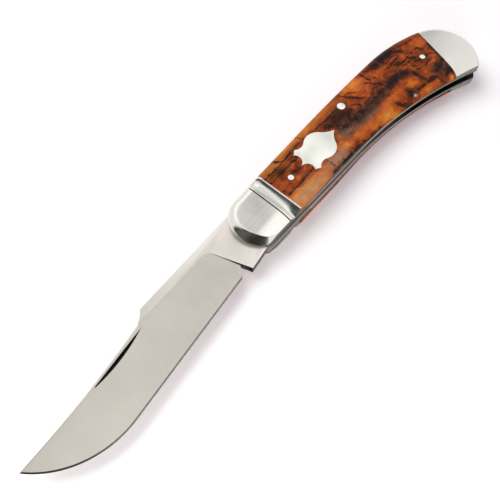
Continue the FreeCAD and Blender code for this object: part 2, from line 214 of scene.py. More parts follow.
def nickelSilverMaterial(name, colour, roughness, spread):
    material, tree = newMaterial(name)
    place = addNode(tree, "ShaderNodeTexCoord").outputs["Object"]
    fine, run = perMetre / nickelSilver["wheelWidth"], perMetre / nickelSilver["wheelRun"]
    mapped = addNode(tree, "ShaderNodeMapping", {
        "Vector": place, "Rotation": (0, 0, nickelSilver["wheelTurn"]), "Scale": (run, fine, fine)})
    wheel = addNode(tree, "ShaderNodeTexNoise", {"Vector": mapped.outputs[0], "Scale": 1.0, "Detail": 2.0})
    haze = addNode(tree, "ShaderNodeTexNoise", {
        "Vector": place, "Scale": perMetre / nickelSilver["hazeSize"], "Detail": 3.0})
    mixed = addNode(tree, "ShaderNodeMath", {0: wheel.outputs["Fac"], 1: haze.outputs["Fac"]}, operation="ADD")
    gloss = addNode(tree, "ShaderNodeMapRange", {
        "Value": mixed.outputs[0], "From Min": 0.7, "From Max": 1.3,
        "To Min": roughness - spread / 2, "To Max": roughness + spread / 2})
    tint = addNode(tree, "ShaderNodeMapRange", {
        "Value": haze.outputs["Fac"], **wideSpan, "To Min": 0.97, "To Max": 1.02})
    base = addNode(tree, "ShaderNodeVectorMath", {0: linear(colour)[:3], "Scale": tint.outputs[0]}, operation="SCALE")
    bump = addNode(tree, "ShaderNodeBump", {
        "Height": wheel.outputs["Fac"], "Strength": nickelSilver["bumpStrength"],
        "Distance": nickelSilver["bump"] * mm})
    metal = addNode(tree, "ShaderNodeBsdfPrincipled", {
        "Base Color": base.outputs[0], "Metallic": 1.0, "Roughness": gloss.outputs[0], "Normal": bump.outputs[0]})
    addNode(tree, "ShaderNodeOutputMaterial", {"Surface": metal.outputs[0]})
    return material


# Polished bark: amber and brown layers under a soft gloss, with blue-black cracks
bark = {
    "shades": [
        (0.0, "2a0e04"), (0.22, "582509"), (0.45, "964012"), (0.65, "bd611c"), (0.82, "cf7e30"), (1.0, "dc9c52"),
    ],
    "grey": "9a7a62", "red": "c25f33", "gold": "b0742c", "fleck": "f0d9cc",
    "crackBlue": "170d0b", "crackBrown": "280e03", "ash": "543428", "roughness": 0.28, "sheenLevel": 0.12,
    "grainWidth": 0.45, "grainRun": 4.0, "grainTone": 0.09, "patchSize": 3.0, "patchTone": 0.17, "patchCrack": 0.10,
    "raggedSize": 0.6, "raggedness": 1.4, "hairRun": 4.0, "hairGap": 2.2, "hairBend": 0.35, "hairCells": 1.6,
    "hairWidth": 0.09, "crackDepth": 0.03, "crackBump": 0.25,
}


def barkMaterial(name):
    material, tree = newMaterial(name)
    place = addNode(tree, "ShaderNodeTexCoord").outputs["Object"]
    marks = {key: addNode(tree, "ShaderNodeAttribute", attribute_name=key).outputs["Fac"]
             for key in ("crack", "near", "blue", "tone", "grey", "red", "gold", "fleck")}
    fine, run = perMetre / bark["grainWidth"], perMetre / bark["grainRun"]
    mapped = addNode(tree, "ShaderNodeMapping", {"Vector": place, "Scale": (run, fine, fine)})
    grain = addNode(tree, "ShaderNodeTexNoise", {"Vector": mapped.outputs[0], "Scale": 1.0, "Detail": 4.0})
    patch = addNode(tree, "ShaderNodeTexNoise", {
        "Vector": place, "Scale": perMetre / bark["patchSize"], "Detail": 4.0, "Distortion": 0.8})
    ragged = addNode(tree, "ShaderNodeTexNoise", {
        "Vector": place, "Scale": perMetre / bark["raggedSize"], "Detail": 4.0, "Distortion": 0.5})
    streaks = addNode(tree, "ShaderNodeMapRange", {
        "Value": grain.outputs["Fac"], **wideSpan, "To Min": -bark["grainTone"], "To Max": bark["grainTone"]})
    clouds = addNode(tree, "ShaderNodeMapRange", {
        "Value": patch.outputs["Fac"], **wideSpan, "To Min": -bark["patchTone"], "To Max": bark["patchTone"]})
    first = addNode(tree, "ShaderNodeMath", {0: marks["tone"], 1: streaks.outputs[0]}, operation="ADD")
    tone = addNode(tree, "ShaderNodeMath", {0: first.outputs[0], 1: clouds.outputs[0]}, operation="ADD")
    layers = addNode(tree, "ShaderNodeValToRGB", {"Fac": tone.outputs[0]})
    shades = layers.color_ramp.elements
    shades.remove(shades[1])
    shades[0].color = linear(bark["shades"][0][1])
    for position, colour in bark["shades"][1:]:
        shades.new(position).color = linear(colour)
    skin = layers.outputs["Color"]
    for key in ("red", "gold", "grey"):
        tinted = addNode(tree, "ShaderNodeMix", {
            mixShare: marks[key], mixFirst: skin, mixSecond: linear(bark[key])}, data_type="RGBA")
        skin = tinted.outputs[mixResult]
    edge = addNode(tree, "ShaderNodeMath", {0: ragged.outputs["Fac"], 1: 0.5}, operation="SUBTRACT")
    rough = addNode(tree, "ShaderNodeMath", {
        0: edge.outputs[0], 1: bark["raggedness"], 2: marks["crack"]}, operation="MULTIPLY_ADD")
    blots = addNode(tree, "ShaderNodeMapRange", {
        "Value": patch.outputs["Fac"], **narrowSpan, "To Min": bark["patchCrack"], "To Max": -bark["patchCrack"]})
    torn = addNode(tree, "ShaderNodeMath", {0: rough.outputs[0], 1: blots.outputs[0]}, operation="ADD")
    run, gap = perMetre / bark["hairRun"], perMetre / bark["hairGap"]
    warp = addNode(tree, "ShaderNodeMapping", {"Vector": place, "Scale": (run, gap, gap)})
    bent = addNode(tree, "ShaderNodeMix", {
        0: bark["hairBend"], 4: warp.outputs[0], 5: patch.outputs["Color"]}, data_type="VECTOR")
    cells = addNode(tree, "ShaderNodeTexVoronoi", {
        "Vector": bent.outputs[1], "Scale": bark["hairCells"]}, feature="DISTANCE_TO_EDGE")
    hair = addNode(tree, "ShaderNodeMapRange", {
        "Value": cells.outputs["Distance"], "From Min": 0.0, "From Max": bark["hairWidth"],
        "To Min": 1.0, "To Max": 0.0})
    hairs = addNode(tree, "ShaderNodeMath", {0: hair.outputs[0], 1: marks["near"]}, operation="MULTIPLY")
    most = addNode(tree, "ShaderNodeMath", {0: torn.outputs[0], 1: hairs.outputs[0]}, operation="MAXIMUM")
    dark = addNode(tree, "ShaderNodeMapRange", {"Value": most.outputs[0], "From Min": 0.25, "From Max": 0.85})
    ink = addNode(tree, "ShaderNodeMix", {
        mixShare: marks["blue"], mixFirst: linear(bark["crackBrown"]), mixSecond: linear(bark["crackBlue"])},
        data_type="RGBA")
    ashes = addNode(tree, "ShaderNodeMapRange", {
        "Value": patch.outputs["Fac"], "From Min": 0.48, "From Max": 0.66, "To Max": 0.75})
    ashen = addNode(tree, "ShaderNodeMix", {
        mixShare: ashes.outputs[0], mixFirst: ink.outputs[mixResult], mixSecond: linear(bark["ash"])},
        data_type="RGBA")
    cracked = addNode(tree, "ShaderNodeMix", {
        mixShare: dark.outputs[0], mixFirst: skin, mixSecond: ashen.outputs[mixResult]}, data_type="RGBA")
    flecked = addNode(tree, "ShaderNodeMix", {
        mixShare: marks["fleck"], mixFirst: cracked.outputs[mixResult], mixSecond: linear(bark["fleck"])},
        data_type="RGBA")
    bump = addNode(tree, "ShaderNodeBump", {
        "Height": torn.outputs[0], "Strength": bark["crackBump"], "Distance": bark["crackDepth"] * mm}, invert=True)
    polished = addNode(tree, "ShaderNodeBsdfPrincipled", {
        "Base Color": flecked.outputs[mixResult], "Roughness": bark["roughness"],
        "Specular IOR Level": bark["sheenLevel"], "Normal": bump.outputs[0]})
    addNode(tree, "ShaderNodeOutputMaterial", {"Surface": polished.outputs[0]})
    return material


grindSteel = satinSteelMaterial("satinSteelGrind", satinSteel["grind"], across=True)
flatSteel = satinSteelMaterial("satinSteelFlat", satinSteel["flat"], across=True, tang=satinSteel["tang"])
springSteel = satinSteelMaterial("satinSteelSpring", satinSteel["spring"], across=False)
# the edge band's dark steel is painted shade along the cutting edge
shadedEdgeSteel = satinSteelMaterial("satinSteelEdgePaintedShade", satinSteel["edge"], across=True)
# the nick and choil steel is painted shade in those hollows
shadedCutSteel = satinSteelMaterial("satinSteelCutPaintedShade", satinSteel["cut"], across=False)
bolsterMetal = nickelSilverMaterial("nickelSilverBolster", nickelSilver["bolster"], roughness=0.22, spread=0.06)
shieldMetal = nickelSilverMaterial("nickelSilverShield", nickelSilver["shield"], roughness=0.32, spread=0.06)
pinMetal = nickelSilverMaterial("nickelSilverPin", nickelSilver["pin"], roughness=0.32, spread=0.06)
linerMetal = nickelSilverMaterial("nickelSilverLiner", nickelSilver["liner"], roughness=0.24, spread=0.08)
# the groove's dark copy of this metal is painted shade
grooveShadeMetal = nickelSilverMaterial("nickelSilverGroovePaintedShade", nickelSilver["groove"], roughness=0.45, spread=0.08)
wellShadeMetal = wellShadeSteelMaterial("wellSteelPaintedShade")
barkSkin = barkMaterial("polishedBark")
print("materials made")


# cuts a side's outer skin into small squares, so that it can be crowned and can carry a pattern
def squareUp(bm, pitch, side, margin):
    low = Vector([min(v.co[i] for v in bm.verts) for i in range(3)])
    high = Vector([max(v.co[i] for v in bm.verts) for i in range(3)])
    for axis in (0, 1):
        normal = Vector((axis == 0, axis == 1, 0))
        at = low[axis] + 0.5 * pitch * mm
        while at < high[axis]:
            sliceFaces(bm, [f for f in bm.faces if f.normal.z * side > margin], normal * at, normal)
            at += pitch * mm


# Blade: the edge is honed on both sides, and the honed band, the nick and the choil are painted dark as shade
blade = {
    "edgeEase": 0.08, "easeAngle": 24, "middle": 5.0, "halfThickness": 1.4, "flatWithin": 0.004, "tipFrom": -68.0,
    "edgeHalf": 0.35, "edgeTop": -1.6, "edgeFrom": -17.0, "stripFacing": (0.2, -0.55, 0.3),
    "groundUp": 0.9, "groundBack": 0.15, "honeWidth": 0.42, "honeWithin": 0.02, "honeLeft": 0.25,
    "nickFrom": -67.0, "nickTo": -45.5, "nickAbove": 0.3, "nickLeft": 0.75, "nickRimUp": 0.99,
    "nickFloorBack": (0.27, 0.38), "nickFloorUp": 0.92, "nickWallBack": -0.8, "nickWallUp": 0.1,
    "choilFrom": -17.6, "choilTo": -13.0, "choilTop": 0.5, "choilUp": 0.2, "choilAhead": -0.5,
}
# the blade's materials by number, in the order that makeBlade gives them
onGrind, onFlat, onShadedEdge, onShadedCut = range(4)


def onCuttingEdge(vert):
    x, y, z = vert.co / mm
    return abs(z - blade["middle"]) < blade["edgeHalf"] and y < blade["edgeTop"] and x < blade["edgeFrom"]


def atTip(vert):
    return vert.co.x / mm < blade["tipFrom"]


def isGround(face):
    n = face.normal
    return face.material_index == onGrind and abs(n.z) > blade["groundUp"] and n.y < blade["groundBack"]


# the thin strip that faces down along the cutting edge
def isStrip(face):
    n, (mostX, mostY, mostZ) = face.normal, blade["stripFacing"]
    return abs(n.z) < mostZ and n.y < mostY and n.x < mostX and all(onCuttingEdge(v) for v in face.verts)


def inNick(face):
    at, n = face.calc_center_median() / mm, face.normal
    low, high = blade["nickFloorBack"]
    isFloor = low < n.y < high and n.z > blade["nickFloorUp"]
    isWall = n.y < blade["nickWallBack"] and n.z > blade["nickWallUp"]
    reached = blade["nickFrom"] < at.x < blade["nickTo"] and at.z > blade["middle"] + blade["nickAbove"]
    return reached and (isFloor or isWall)


def inChoil(face):
    at, n = face.calc_center_median() / mm, face.normal
    reached = blade["choilFrom"] < at.x < blade["choilTo"] and at.y < blade["choilTop"]
    return reached and abs(n.z) < blade["choilUp"] and n.x < blade["choilAhead"]


# cuts a narrow band along both sides of the edge, hones it down towards the middle and paints it with dark steel as
# shade
def honeEdge(bm):
    width, middle = blade["honeWidth"], blade["middle"]
    strip = [f for f in bm.faces if isStrip(f)]
    runs = [(f.calc_center_median() / mm, f.normal.copy()) for f in strip]
    tips = {v for f in strip for v in f.verts}
    for at, out in runs:
        sliceFaces(bm, [f for f in bm.faces if isGround(f)], (at - out * width) * mm, out)
    band = []
    for face in bm.faces:
        if isGround(face):
            center = face.calc_center_median() / mm
            if min(out.dot(at - center) for at, out in runs) < width + blade["honeWithin"]:
                band.append(face)
    for vert in {v for f in band for v in f.verts} - tips:
        share = max(0.0, min(out.dot(at - vert.co / mm) for at, out in runs) / width)
        if share < 1:
            left = blade["honeLeft"] + (1 - blade["honeLeft"]) * share
            vert.co.z = (middle + (vert.co.z / mm - middle) * left) * mm
    for vert in tips:
        vert.co.z = (middle + (vert.co.z / mm - middle) * blade["honeLeft"]) * mm
    for face in band + strip:
        face.material_index = onShadedEdge


# draws the nick's lower edge up towards the line between its ends
def narrowNick(bm):
    floor = [f for f in bm.faces if f.material_index == onShadedCut and f.normal.z > blade["groundUp"]]
    rim = {v for f in floor for e in f.edges for v in e.verts
           if any(g.material_index == onGrind and g.normal.z > blade["nickRimUp"] for g in e.link_faces)}
    first, last = min(rim, key=lambda v: v.co.x).co.copy(), max(rim, key=lambda v: v.co.x).co.copy()
    for vert in rim:
        above = first.lerp(last, (vert.co.x - first.x) / (last.x - first.x))
        vert.co = above.lerp(vert.co, blade["nickLeft"])


def makeBlade():
    bm = mergedCopy("blade")
    for face in bm.faces:
        height = (face.calc_center_median() / mm).z
        if abs(height - blade["middle"]) > blade["halfThickness"] - blade["flatWithin"]:
            face.material_index = onFlat
        # the nick and the choil take the dark steel, painted shade in these hollows
        if inNick(face) or inChoil(face):
            face.material_index = onShadedCut
    narrowNick(bm)
    easeEdges(bm, blade["edgeEase"], blade["easeAngle"],
              spared=lambda e: all(onCuttingEdge(v) or atTip(v) for v in e.verts))
    honeEdge(bm)
    cutLargeFaces(bm)
    finishPiece(bm, "clip_blade", "blade", "blade", [grindSteel, flatSteel, shadedEdgeSteel, shadedCutSteel])


makeBlade()
print("blade made")

# Liners, spring, pins and shield
fittings = {
    "linerEase": 0.10, "pinEase": 0.28, "springEase": 0.12, "shieldEase": 0.1, "easeAngle": 40,
    "linerInward": 0.9, "springInward": -0.3,
}


# inner picks the faces that look into the well, which take the second material, the painted well shade
def makeFitting(name, node, ease, materials, inner=None):
    bm = mergedCopy(node)
    easeEdges(bm, ease, fittings["easeAngle"])
    if inner:
        for face in bm.faces:
            face.material_index = 1 if inner(face) else 0
    finishPiece(bm, name, node, "handle", materials)


for side, inward in (("mark_side", -1), ("pile_side", 1)):
    makeFitting("liner_plate_" + side, "liner_" + side, fittings["linerEase"], [linerMetal, wellShadeMetal],
                lambda face: face.normal.z * inward > fittings["linerInward"])
    for place in ("front", "rear"):
        makeFitting(place + "_pin_head_" + side, place + "_cover_pin_" + side, fittings["pinEase"], [pinMetal])
makeFitting("center_pin_head", "center_pin", fittings["pinEase"], [pinMetal])
makeFitting("back_spring", "backspring", fittings["springEase"], [springSteel, wellShadeMetal],
            lambda face: face.normal.y < fittings["springInward"])
makeFitting("inlaid_shield", "shield", fittings["shieldEase"], [shieldMetal])
print("liners, spring, pins and shield made")

# Belly bevel of the covers and rear bolsters, buffed softer on the mark side, 1, than on the pile side, -1
bevel = {
    "center": (47.99, -91.9), "radius": 88.0, "slope": 32.0, "soft": {1: 1.6, -1: 0.25}, "top": {1: 10.0, -1: 0.0},
    "skinDepth": 2.3, "deepest": 2.4, "softReach": 3,
}


# how deep a height lies under a side's outer face, and the way back
def depthUnder(z, side):
    return (bevel["top"][side] - z) * side


def heightAt(depth, side):
    return (bevel["top"][side] - side * depth) * mm


def buffBevel(bm, side):
    for vert in bm.verts:
        x, y, z = vert.co / mm
        depth = depthUnder(z, side)
        if depth > bevel["skinDepth"]:
            continue
        run = bevel["radius"] - math.hypot(x - bevel["center"][0], y - bevel["center"][1])
        soft = 0.5 * (run + math.hypot(run, bevel["soft"][side])) * math.tan(math.radians(bevel["slope"]))
        if run > -bevel["softReach"] * bevel["soft"][side]:
            vert.co.z = heightAt(max(depth, min(soft, bevel["deepest"])), side)


# Bolsters: the front ones fall away softly towards the belly, and their nose is ground to a slope
bolster = {
    "pitch": 0.5, "skinUp": 0.3, "middle": 5.0,
    "bellyStart": -6.95, "bellyRise": 1.05, "fallReach": 4.9, "fall": 0.9, "fallFade": 2.2, "fallAbove": 2.6,
    "bandEnd": 8.3, "spineStart": 9.64, "spineRise": 3.1, "rimReach": 2.6, "rimDrop": 1.8, "edgeRound": 1.8,
    "rimFade": 2.5, "upperArc": (-1.78, 1.25, 8.28), "lowerArc": (0.24, 1.25, 10.3), "crisp": 0.08,
    "noseRamp": 58, "noseAngles": [150, 185, 205, 233], "noseInset": [1.8, 2.4, 2.4, 1.6],
    "noseDrop": [1.7, 2.25, 2.25, 2.2], "noseCuts": (2, 246, 3), "noseInside": 4, "noseEnd": 2, "noseDeepest": 2.3,
    "lastAngle": 260, "bellyAngle": 60, "grooveFrom": 3.1, "grooveTo": 3.6, "grooveUp": 0.1, "grooveTurn": 0.5,
    "coveFrom": 3.9, "coveLow": 5.4, "coveTo": 7.8, "coveDepth": 1.4, "coveSoft": 0.25, "coveEnd": -4.5,
    "coveStart": 6.0, "coveMost": 0.8, "coveDeepest": 1.5,
}


# the line where the nose's slope starts, by the angle around the nose
def noseCrest(angle):
    centerX, centerY, radius = bolster["lowerArc"] if angle > 180 else bolster["upperArc"]
    left = radius - np.interp(angle, bolster["noseAngles"], bolster["noseInset"])
    turn = math.radians(angle)
    return Vector((centerX + left * math.cos(turn), centerY + left * math.sin(turn), 0))


# how far a point lies inside the outline, and at which angle around the nose
def rimPlace(x, y):
    centerX, centerY, radius = bolster["lowerArc"] if y < bolster["lowerArc"][1] else bolster["upperArc"]
    angle = math.degrees(math.atan2(y - centerY, x - centerX)) % 360
    inside = radius - math.hypot(x - centerX, y - centerY)
    if angle < 90 + bolster["spineRise"]:
        rise = math.radians(bolster["spineRise"])
        inside = (bolster["spineStart"] + x * math.tan(rise) - y) * math.cos(rise)
    return inside, angle


# the drop of a rounding at a place inside the outline
def roundDrop(inside, reach, drop):
    left = min(max(1 - inside / reach, 0.0), 1.0)
    return drop * (1 - math.sqrt(1 - left * left))


def slopeNose(bm, side):
    start = bolster["noseAngles"][0]
    lead, end, step = bolster["noseCuts"]
    for angle in np.arange(start + lead, end, step):
        along = noseCrest(angle + 0.5) - noseCrest(angle - 0.5)
        skin = [f for f in bm.faces if f.normal.z * side > bolster["skinUp"]]
        sliceFaces(bm, skin, noseCrest(angle) * mm, Vector((along.y, -along.x, 0)))
    cutLargeFaces(bm)
    for vert in bm.verts:
        x, y, z = vert.co / mm
        inside, angle = rimPlace(x, y)
        isBelly = angle > bolster["lastAngle"] or angle < bolster["bellyAngle"] and y < 0
        if depthUnder(z, side) > bevel["skinDepth"] or inside > bolster["noseInside"] or isBelly:
            continue
        soft = roundDrop(inside, bolster["rimReach"], bolster["rimDrop"])
        if angle < start:
            fade = min(1.0, (bolster["bandEnd"] - x) / bolster["rimFade"])
            vert.co.z -= side * fade * (soft - roundDrop(inside, bolster["edgeRound"], bolster["edgeRound"])) * mm
        elif x < bolster["noseEnd"]:
            share = min(1.0, (angle - start) / bolster["noseRamp"])
            share = share * share * (3 - 2 * share)
            inset = np.interp(angle, bolster["noseAngles"], bolster["noseInset"])
            steep = np.interp(angle, bolster["noseAngles"], bolster["noseDrop"]) / inset
            slope = steep * 0.5 * (inset - inside + math.hypot(inset - inside, bolster["crisp"]))
            vert.co.z = heightAt(share * min(bolster["noseDeepest"], slope) + (1 - share) * soft, side)


# deepens the band's cove towards the belly, with a long slope at its back
def deepenCove(bm, side):
    for vert in bm.verts:
        x, y, z = vert.co / mm
        depth = depthUnder(z, side)
        if not bolster["coveFrom"] < x < bolster["coveTo"] or depth > bolster["coveDeepest"]:
            continue
        front = (x - bolster["coveFrom"]) / (bolster["coveLow"] - bolster["coveFrom"])
        back = (bolster["coveTo"] - x) / (bolster["coveTo"] - bolster["coveLow"])
        low = max(0.0, 0.5 * (front + back - math.hypot(front - back, bolster["coveSoft"])))
        run = (bolster["coveStart"] - y) / (bolster["coveStart"] - bolster["coveEnd"])
        share = min(bolster["coveMost"], max(0.0, run))
        vert.co.z -= side * share * (bolster["coveDepth"] * low - depth) * mm


def inGroove(face, side):
    x, n = face.calc_center_median().x / mm, face.normal
    reached = bolster["grooveFrom"] < x < bolster["grooveTo"]
    return reached and n.z * side > bolster["grooveUp"] and abs(n.x) > bolster["grooveTurn"]


# lets a front bolster's face fall away towards the belly, and fades that out ahead of the cover
def fallFace(bm, side):
    for vert in bm.verts:
        x, y, z = vert.co / mm
        line = bolster["bellyStart"] + x * math.tan(math.radians(bolster["bellyRise"]))
        run = max(0.0, 1 - (y - line) / bolster["fallReach"])
        ahead = min(1.0, max(0.0, (bolster["coveTo"] - x) / bolster["fallFade"]))
        if (z - bolster["middle"]) * side > bolster["fallAbove"]:
            vert.co.z -= side * bolster["fall"] * run * run * ahead * mm


def makeBolster(place, side):
    node = place + "_bolster_" + side
    up = 1 if side == "mark_side" else -1
    bm = mergedCopy(node)
    squareUp(bm, bolster["pitch"], up, bolster["skinUp"])
    cutLargeFaces(bm)
    if place == "front":
        slopeNose(bm, up)
        deepenCove(bm, up)
        for face in bm.faces:
            # faces in the groove take the dark metal, painted shade in the groove
            if inGroove(face, up):
                face.material_index = 1
        fallFace(bm, up)
    else:
        buffBevel(bm, up)
    finishPiece(bm, place + "_bolster_cap_" + side, node, "handle", [bolsterMetal, grooveShadeMetal])


for side in ("mark_side", "pile_side"):
    for place in ("front", "rear"):
        makeBolster(place, side)
print("bolsters made")

# Bark covers, in mm: veins and cracks are (width, depth of colour, points),
# and the rest are patches (x, y, reach along, reach across, change)
markBark = {
    "veins": [
        (2.6, 1.0, [(40, 2.1), (43.5, 1.6), (47, 1.1), (50, 0.8)]), (2.0, 1.0, [(50, 0.9), (54, 1.1), (58, 1.1)]),
        (2.3, 1.0, [(58, 1.1), (62, 1.3), (66, 1.3), (69, 1.1)]), (1.7, 1.0, [(69, 1.1), (70.5, -0.3), (71.7, -2)]),
        (1.0, 0.95, [(71.7, -2), (72.2, -4), (72.2, -6)]), (1.2, 0.9, [(38.5, 3.3), (41, 2.8), (44, 3.4)]),
        (1.0, 0.95, [(39, 7.9), (42, 7.6), (44, 7.4)]), (2.4, 0.95, [(65.5, 9.6), (69, 9.9), (73, 9.9), (76, 9.5)]),
        (1.3, 0.9, [(74, 11.2), (75.4, 9.6)]), (1.4, 0.85, [(75.5, 8.2), (77, 7)]),
        (4.4, 1.0, [(79.5, -7.2), (81.5, -8.2)]), (2.2, 0.9, [(77.2, -6.5), (80, -6.2), (83, -5.6)]),
        (2.0, 0.9, [(79, -9.6), (81.3, -9.6)]), (1.8, 1.0, [(64.3, -6.0), (65.2, -5.8)]),
        (1.2, 1.0, [(24, -6.4), (30, -6.2), (35, -6.1), (39.5, -6.2)]),
        (0.6, 0.85, [(39, -6.0), (44, -6.1), (48, -6.2)]),
    ],
    "cracks": [
        (0.5, 1.2, [(8, 7.3), (12, 7.2), (16, 7.4), (20.5, 7.5)]),
        (0.6, 1.2, [(8, 5.1), (13, 5.0), (17, 5.1), (20.7, 5.3)]),
        (0.5, 1.1, [(9, -1.5), (13, -1.3), (17, -1.1), (21, -0.7)]),
        (0.8, 0.8, [(16.4, 2.8), (18, 2.3), (19.5, 2.0)]), (0.8, 0.9, [(14.4, 10.2), (15.7, 8.6), (16.4, 7.8)]),
        (0.6, 0.8, [(26.4, 10.8), (26.9, 9), (27.9, 8.1)]), (0.8, 0.8, [(20.8, 7.9), (24, 8.2), (27.5, 8.0)]),
        (0.7, 0.9, [(33, 7.8), (36, 7.5), (40, 7.7)]),
        (1.8, 0.95, [(34.8, 5.5), (38, 5.2), (41, 4.9), (44.5, 4.2)]), (0.8, 0.8, [(44.5, 4.2), (47, 4.3)]),
        (0.8, 0.8, [(37.2, 2.7), (38.4, 1.1)]), (0.6, 0.7, [(25.9, -1.3), (26.3, -3.3), (26.2, -5)]),
        (0.5, 0.6, [(35.7, -1.1), (36.2, -2.6)]),
        (0.9, 0.95, [(47.6, 12), (48.4, 9.8), (49.1, 8), (50.9, 6.2), (52.3, 4.5)]),
        (0.6, 0.85, [(49.2, 9.2), (51.4, 8.8), (52.7, 7.5)]),
        (0.9, 0.9, [(47.4, 5.2), (48.9, 4.5), (49.9, 3.1), (50.1, 1.9)]), (1.0, 0.9, [(46.8, 12.4), (48, 11.6)]),
        (0.7, 0.95, [(59.6, 12.6), (59.7, 9.5), (59.9, 7.3)]), (0.7, 0.8, [(57.7, 7.5), (58.7, 6.1), (59.3, 4.9)]),
        (1.1, 0.9, [(60.1, 4.8), (60.7, 3.7), (61.1, 2.4)]),
        (0.6, 0.8, [(52, 2.5), (55, 3.1), (57.5, 3.9), (60.2, 3.8)]), (0.7, 0.7, [(61.4, 11.2), (62.2, 9.8)]),
        (0.8, 0.8, [(61.5, 6.8), (62, 6.5)]), (0.6, 0.8, [(66, 7.8), (70, 7.5), (74, 7.7)]),
        (0.8, 0.85, [(76, 9.2), (79, 8.3), (83.4, 7.5)]), (0.7, 0.85, [(79, 11), (83, 9.9), (86.5, 8.4)]),
        (0.7, 0.9, [(70, 6.2), (72, 5.8), (74.1, 6.3)]), (0.6, 0.85, [(66.4, 6.2), (68.9, 5.6), (71.4, 5.8)]),
        (0.9, 0.95, [(70.9, 4.0), (73, 3.7), (75.1, 3.6)]), (0.8, 0.95, [(71.9, 2.4), (73.4, 2.2), (75.2, 2.2)]),
        (0.6, 0.8, [(69.9, 4.9), (72.4, 4.6)]), (1.0, 0.95, [(76, 3.8), (76.6, 2.5), (77.5, 1.6)]),
        (0.7, 0.9, [(78.2, 3.8), (79.9, 4.1), (81.6, 3.8), (82.1, 2.9)]),
        (0.9, 0.95, [(73.6, 0.7), (74.3, -0.1), (74.5, -0.9)]), (0.9, 0.9, [(73.8, -1.7), (74.4, -2.1)]),
        (0.6, 0.85, [(76.2, 0.9), (77.4, 0.3), (78.7, 0.1)]), (0.7, 0.9, [(76.9, -3), (78.1, -2.3), (79.9, -2.4)]),
        (0.8, 0.9, [(80.8, 0), (82.2, -0.7), (83.3, -1.4)]), (1.6, 1.0, [(85.5, 1.8), (84.9, -0.8), (84.2, -3.4)]),
        (0.8, 0.8, [(82.4, 2.3), (84.2, 1.9)]), (0.8, 0.95, [(78.4, -5.1), (81, -5.3), (84, -4.8)]),
        (1.1, 0.95, [(66.2, -6.7), (69, -6.8), (72, -7), (75, -7.7)]), (1.2, 0.9, [(74, -6.9), (76.5, -7.7)]),
        (1.1, 0.95, [(75.9, -8.3), (76.1, -10), (76.7, -12.8)]), (1.0, 0.8, [(58.3, -5), (59.2, -5.7)]),
        (1.2, 0.8, [(59.2, -6.3), (60.9, -7), (63.2, -6.7)]), (0.5, 0.6, [(60, -7.6), (63, -7.9)]),
        (0.6, 0.7, [(56.7, -7.6), (59, -8.1)]), (0.6, 0.8, [(64.5, -5.5), (64.2, -3.9)]),
        (0.7, 0.8, [(65, -5.9), (66.8, -6.7)]), (0.7, 0.8, [(64, -6.1), (62, -6.9)]),
    ],
    "tone": [
        # the first patch, lighter along the spine, is partly painted highlight on the rounded spine edge and partly
        # the bark's own tone
        (24, 10.2, 17, 1.6, 0.30), (20, 9.7, 3, 0.8, 0.12), (41, 10.4, 5, 1.0, 0.10), (13, 6.2, 8, 0.9, -0.20),
        (15.5, 0.5, 1.6, 0.8, 0.15), (14, -4.1, 11, 2.4, 0.42), (13, 1.5, 7, 2.5, -0.07), (9, 0.5, 1, 0.8, -0.15),
        (13, -6.2, 10, 1.2, 0.25), (24.5, 8.4, 4, 1.2, -0.28), (15, -1.6, 8, 1.1, -0.16),
        (37.6, 0.8, 1.4, 1.3, -0.35), (51, -0.8, 6, 1.0, -0.38), (70, 6.8, 3, 1.2, 0.14), (55, -7.0, 5, 1.1, 0.30),
        (79.5, -11, 1.5, 1.5, 0.18), (64, -1.5, 4, 1.0, -0.12), (33.8, -3.1, 2, 1.3, 0.33),
        (42, -3.9, 6, 1.5, 0.18), (53, -5.1, 5, 2.2, 0.38), (46, -1.1, 8, 1.1, -0.30), (40, 6.6, 6, 1.6, -0.28),
        (42, 3.9, 4, 1.5, -0.33), (54, 10.2, 4, 1.8, 0.42), (47.5, 10.4, 1.6, 1, -0.20), (54, 7, 5, 3, 0.10),
        (63.5, 7.5, 2.5, 1.5, 0.20), (70, 10, 6, 1.8, -0.38), (73.5, 3.5, 4, 2.5, 0.06), (62, -2.3, 5, 1.3, 0.20),
        (68.5, -4.1, 2.5, 1.3, 0.36), (69, -9.1, 6, 1.2, 0.28), (74, -10.6, 1.5, 1, 0.15),
        (79, -12.2, 1.8, 0.9, 0.30), (84, 4.8, 2, 2, 0.12), (82, -2.6, 1.8, 1.5, 0.15),
    ],
    "grey": [(29, -3.8, 4, 2.0, 0.75), (39, 0.2, 4, 1.8, 0.45), (48, -1.6, 5, 1, 0.35), (15, -4.9, 10, 2.3, 0.6)],
    "red": [
        (55, -2.6, 3, 1.5, 0.5), (84, 4.5, 2, 2, 0.6), (44, -3.3, 4, 1.2, 0.4), (57, 8, 4, 3, 0.4),
        (72, -9.2, 3, 1, 0.4),
    ],
    # the two gold patches along the spine are partly painted highlight on the rounded spine edge and partly the
    # bark's own colour
    "gold": [
        (13, 8.7, 8, 1.3, 0.6), (30, 9.9, 12, 1.1, 0.5), (33.5, -3.3, 2.5, 1.5, 0.4), (51, -5.2, 4, 1.5, 0.3),
        (12, -4.4, 6, 1.8, 0.3),
    ],
    "fleck": [(65.3, -7.1, 0.45, 0.35, 0.9)],
}
